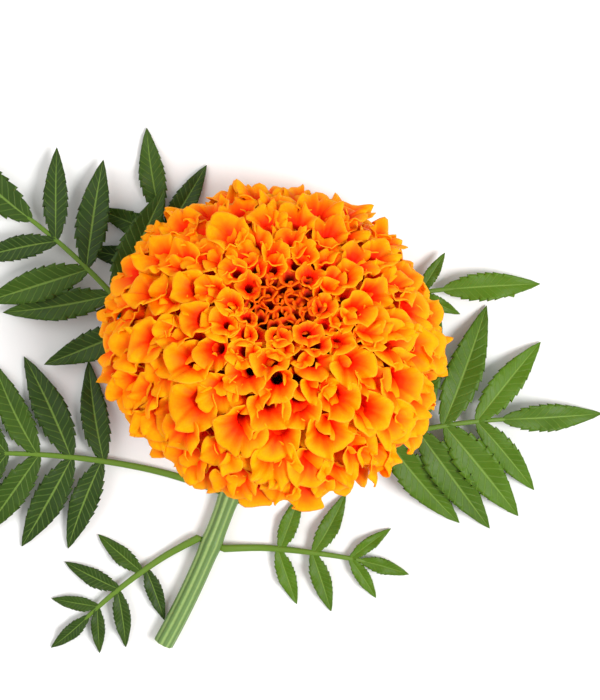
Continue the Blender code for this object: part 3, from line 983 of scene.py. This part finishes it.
class MarigoldHead(bpy.types.PropertyGroup):
    floret_size: bpy.props.FloatProperty(
        name="Floret size", description="Length of the petals' lips beside the usual one", default=1.0
    )
    ruffle: bpy.props.FloatProperty(
        name="Ruffle", description="Height of the waves at a petal's edge", default=1.15 * MM, **LENGTH
    )
    petal_thickness: bpy.props.FloatProperty(
        name="Petal thickness", description="Thickness of a petal", default=0.22 * MM, **LENGTH
    )
    edge: bpy.props.FloatVectorProperty(
        name="Edge", description="Amber of a petal's edge", default=(1.0, 0.30, 0.0), **COLOUR
    )
    face: bpy.props.FloatVectorProperty(
        name="Face", description="Orange of a petal's face", default=(1.0, 0.145, 0.0), **COLOUR
    )
    # The throat's red is partly the petal's own colour and partly painted shade.
    throat: bpy.props.FloatVectorProperty(
        name="Throat", description="Red inside a petal's throat", default=(0.92, 0.010, 0.0), **COLOUR
    )
    centre_count: bpy.props.IntProperty(
        name="Centre florets", description="Number of small florets in the centre", default=26
    )


class MarigoldGreens(bpy.types.PropertyGroup):
    leaf_thickness: bpy.props.FloatProperty(
        name="Leaf thickness", description="Thickness of a leaflet", default=0.3 * MM, **LENGTH
    )
    # The dark green also serves as the painted shade of the left-hand leaves, the light green as the
    # painted light of the right-hand ones.
    dark: bpy.props.FloatVectorProperty(
        name="Dark green", description="Colour of dark leaflets", default=(0.020, 0.048, 0.004), **COLOUR
    )
    light: bpy.props.FloatVectorProperty(
        name="Light green", description="Colour of light leaflets", default=(0.072, 0.155, 0.004), **COLOUR
    )


class MarigoldStudio(bpy.types.PropertyGroup):
    lens: bpy.props.FloatProperty(name="Lens", description="Focal length (mm)", default=85.0)
    floor_colour: bpy.props.FloatVectorProperty(
        name="Floor", description="Colour of the floor", default=(0.86, 0.86, 0.85), **COLOUR
    )


class MARIGOLD_OT_outer_petals(bpy.types.Operator):
    """Make the florets of the outer whorls, one piece for each separate petal"""

    bl_idname = "marigold.outer_petals"
    bl_label = "Outer petals"

    def execute(self, context):
        settings = context.scene.marigold_head
        for whorl in range(SEPARATE_WHORLS):
            luck = np.random.default_rng(40 + whorl)
            florets = whorl_florets(whorl, settings)
            for number in range(WHORLS[whorl][0]):
                name = f"{whorl + 1}_{number + 1:02d}"
                some = florets[number * FLORETS_PER_PETAL : (number + 1) * FLORETS_PER_PETAL]
                shape = floret_shape(some, luck, RIPENESS[whorl], settings.petal_thickness)
                piece = shape.make(f"ray_florets_{name}", shared_petal(settings))
                claim(piece, "petal", f"petal_{name}")
        return {"FINISHED"}


class MARIGOLD_OT_inner_petals(bpy.types.Operator):
    """Make the florets of the inner whorls, one piece for each whorl"""

    bl_idname = "marigold.inner_petals"
    bl_label = "Inner petals"

    def execute(self, context):
        settings = context.scene.marigold_head
        for whorl in range(SEPARATE_WHORLS, len(WHORLS)):
            luck = np.random.default_rng(40 + whorl)
            florets = whorl_florets(whorl, settings)
            shape = floret_shape(florets, luck, RIPENESS[whorl], settings.petal_thickness)
            piece = shape.make(f"ray_florets_{whorl + 1}", shared_petal(settings))
            claim(piece, "petal", f"petal_whorl_{whorl + 1}")
        return {"FINISHED"}


class MARIGOLD_OT_centre(bpy.types.Operator):
    """Make the small florets of the centre"""

    bl_idname = "marigold.centre"
    bl_label = "Centre florets"

    def execute(self, context):
        settings = context.scene.marigold_head
        material = centre_material()
        trumpet = trumpet_mesh(material)
        holder = bpy.data.meshes.new("centre_florets")
        piece = bpy.data.objects.new("centre_florets", holder)
        context.scene.collection.objects.link(piece)
        spiral_tree(trumpet, material, settings.centre_count, CENTRE_SPREAD).run(piece)
        bpy.data.objects.remove(trumpet, do_unlink=True)
        turn = head_turn().to_4x4()
        place = Matrix.Translation(head_centre()) @ turn @ Matrix.Translation((0, 0, CENTRE_HEIGHT))
        piece.data.transform(place)
        claim(piece, "centre", "disc_florets")
        return {"FINISHED"}


class MARIGOLD_OT_cup(bpy.types.Operator):
    """Make the green cup under the head and the pad inside it"""

    bl_idname = "marigold.cup"
    bl_label = "Cup and pad"

    def execute(self, context):
        green = green_material("cup", (0.10, 0.20, 0.04), (0.26, 0.38, 0.10))
        cup = cup_shape().make("bract_cup", green, CUP_WALL)
        claim(cup, "stem", "involucre")
        pad = pad_shape().make("floret_pad", green_material("pad", (0.3, 0.4, 0.15), (0.3, 0.4, 0.15)))
        claim(pad, "pad", "receptacle")
        return {"FINISHED"}


class MARIGOLD_OT_stem(bpy.types.Operator):
    """Make the ribbed stem with its cut end"""

    bl_idname = "marigold.stem"
    bl_label = "Stem"

    def execute(self, context):
        material = green_material("stem", (0.10, 0.19, 0.04), (0.24, 0.36, 0.10))
        claim(stem_shape().make("stalk", material), "stem", "stem")
        return {"FINISHED"}


class MARIGOLD_OT_leaves(bpy.types.Operator):
    """Make the feather-shaped leaves"""

    bl_idname = "marigold.leaves"
    bl_label = "Leaves"

    def execute(self, context):
        settings = context.scene.marigold_greens
        material = leaf_material(settings)
        route = stem_route()
        for leaf in LEAVES:
            blades, rod = leaf_shapes(leaf, route)
            piece = blades.make(f"{leaf.name}_blades", material, settings.leaf_thickness)
            claim(piece, "leaf", leaf.name)
            claim(rod.make(f"{leaf.name}_stalk", material), "leaf", leaf.name)
        return {"FINISHED"}


class MARIGOLD_OT_stage(bpy.types.Operator):
    """Make the pale floor, the soft lights and the camera above the flower"""

    bl_idname = "marigold.stage"
    bl_label = "Stage"

    def execute(self, context):
        settings = context.scene.marigold_studio
        make_floor(settings)
        make_lights()
        make_camera(settings)
        return {"FINISHED"}


class MARIGOLD_PT_panel(bpy.types.Panel):
    """The marigold's pieces and settings"""

    bl_idname = "MARIGOLD_PT_panel"
    bl_label = "Marigold"
    bl_space_type = "VIEW_3D"
    bl_region_type = "UI"
    bl_category = "Marigold"

    def draw(self, context):
        for group in GROUPS:
            settings = getattr(context.scene, group)
            for key in settings.bl_rna.properties.keys():
                if key not in ("rna_type", "name"):
                    self.layout.prop(settings, key)
        for operator in OPERATORS:
            self.layout.operator(operator.bl_idname)


def shared_petal(settings):
    """The petals' material, made once."""
    return bpy.data.materials.get("petal_skin") or petal_material(settings)


def centre_material():
    """Brownish orange with dark maroon throats, for the florets of the centre. The throats darken to near
    black down the tube, partly the florets' own maroon and partly painted shade.
    """
    paint = Paint("centre_petal", Subsurface_Weight=0.1, Subsurface_Scale=0.001, Specular_IOR_Level=0.08)
    lip, grain = paint.attribute("lip"), paint.noise(1300.0, 3.0)
    # Near black deep in the tube to orange at the rim: the dark is partly the florets' own maroon and
    # partly painted shade.
    stops = [
        (0.0, (0.02, 0.0, 0.0)),
        (0.3, (0.14, 0.002, 0.0)),
        (0.5, (0.62, 0.02, 0.0)),
        (0.8, (0.92, 0.15, 0.0)),
    ]
    colour = paint.ramp(lip + (grain - 0.5) * 0.2, stops)
    paint.bump(grain, 0.3, 0.0002)
    return paint.finish(colour, 0.5 + grain * 0.2)


def make_floor(settings):
    """A pale floor that runs far past the flower."""
    half = 3.0
    mesh = bpy.data.meshes.new("floor")
    corners = [(-half, -half, 0), (half, -half, 0), (half, half, 0), (-half, half, 0)]
    mesh.from_pydata(corners, [], [(0, 1, 2, 3)])
    paint = Paint("floor")
    grain = paint.noise(8.0)
    pale = paint.blend(grain * 0.1, (*settings.floor_colour, 1.0), (0.80, 0.80, 0.79, 1.0))
    mesh.materials.append(paint.finish(pale, 0.8))
    floor = bpy.data.objects.new("floor", mesh)
    bpy.context.scene.collection.objects.link(floor)


def make_light(name, size, energy, place, target):
    data = bpy.data.lights.new(name, "AREA")
    data.shape, data.size, data.energy = "DISK", size, energy
    light = bpy.data.objects.new(name, data)
    light.location = place
    light.rotation_euler = (Vector(target) - Vector(place)).to_track_quat("-Z", "Y").to_euler()
    bpy.context.scene.collection.objects.link(light)


def make_lights():
    """A large soft light from the upper right, a weak one opposite, and a pale room."""
    make_light("key_light", 0.35, 6.2, (0.46, -0.1, 0.66), (0, 0.01, 0.02))
    make_light("fill_light", 0.8, 3.0, (-0.55, 0.25, 0.65), (0, 0, 0.02))
    world = bpy.data.worlds.new("room")
    world.use_nodes = True
    world.node_tree.nodes["Background"].inputs[0].default_value = (1.0, 1.0, 1.0, 1.0)
    world.node_tree.nodes["Background"].inputs[1].default_value = 0.6
    bpy.context.scene.world = world
    bpy.context.scene.view_settings.view_transform = "Standard"


def make_camera(settings):
    """Looks down on the head, from a little behind the vertical, so that the eye is above its middle."""
    data = bpy.data.cameras.new("camera")
    data.lens, data.sensor_width = settings.lens, 36.0
    frame_height, tip_back = 159 * MM, math.radians(5)
    distance = frame_height * data.lens / data.sensor_width
    camera = bpy.data.objects.new("camera", data)
    focus = head_centre() + Vector((5.8 * MM, -2.3 * MM, 0))
    camera.location = focus + Vector((0, math.sin(tip_back), math.cos(tip_back))) * distance
    camera.rotation_euler = (-tip_back, 0, 0)
    bpy.context.scene.collection.objects.link(camera)
    bpy.context.scene.camera = camera


GROUPS = {
    "marigold_head": MarigoldHead,
    "marigold_greens": MarigoldGreens,
    "marigold_studio": MarigoldStudio,
}
OPERATORS = (
    MARIGOLD_OT_outer_petals,
    MARIGOLD_OT_inner_petals,
    MARIGOLD_OT_centre,
    MARIGOLD_OT_cup,
    MARIGOLD_OT_stem,
    MARIGOLD_OT_leaves,
    MARIGOLD_OT_stage,
)


def register():
    for group, kind in GROUPS.items():
        bpy.utils.register_class(kind)
        setattr(bpy.types.Scene, group, bpy.props.PointerProperty(type=kind))
    for kind in (*OPERATORS, MARIGOLD_PT_panel):
        bpy.utils.register_class(kind)


def unregister():
    for kind in (MARIGOLD_PT_panel, *reversed(OPERATORS)):
        bpy.utils.unregister_class(kind)
    for group, kind in GROUPS.items():
        delattr(bpy.types.Scene, group)
        bpy.utils.unregister_class(kind)


def main():
    register()
    bpy.ops.marigold.outer_petals()
    bpy.ops.marigold.inner_petals()
    bpy.ops.marigold.centre()
    bpy.ops.marigold.cup()
    bpy.ops.marigold.stem()
    bpy.ops.marigold.leaves()
    bpy.ops.marigold.stage()


if __name__ == "__main__":
    main()
